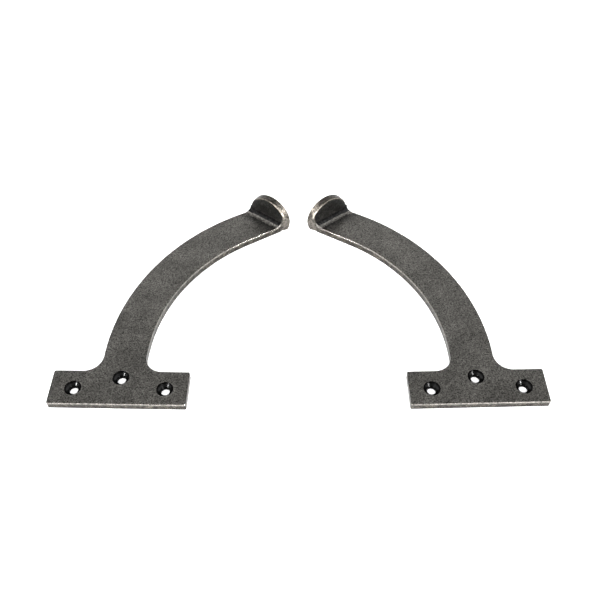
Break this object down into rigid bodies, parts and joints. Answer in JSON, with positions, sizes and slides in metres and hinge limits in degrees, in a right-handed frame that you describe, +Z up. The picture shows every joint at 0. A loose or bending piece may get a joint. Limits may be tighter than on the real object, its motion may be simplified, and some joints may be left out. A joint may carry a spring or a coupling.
{
  "type": "shutter holdback stays",
  "caption": "Handed pair of flat quadrant holdback stays: a screwed T foot, a curved arm and an upright round stop head, in dark pewter steel.",
  "frame": {"origin": "centre of the pair's footprint, on the flat mounting face under the feet", "axes": "+X across the pair from the left stay to the right stay, +Y from the feet towards the stop heads, +Z up out of the mounting face"},
  "size_m": [0.2536, 0.1426, 0.0205],
  "materials": {
    "plate_steel": "dark pewter patina on flat steel, fine mottled grain, burnished edges",
    "head_steel": "dark pewter patina with a paler burnished rim",
    "weld_steel": "dressed fillet weld under the same pewter patina, slightly paler"
  },
  "bodies": {
    "left_stay": {"left_stay_plate": "plate_steel", "left_stop_head": "head_steel", "left_weld_bead": "weld_steel"},
    "right_stay": {"right_stay_plate": "plate_steel", "right_stop_head": "head_steel", "right_weld_bead": "weld_steel"}
  },
  "joints": [
    {"name": "right_stay_spacing", "type": "slide", "parent": "left_stay", "child": "right_stay", "axis": [1, 0, 0], "range_m": [0, 0.3]}
  ]
}
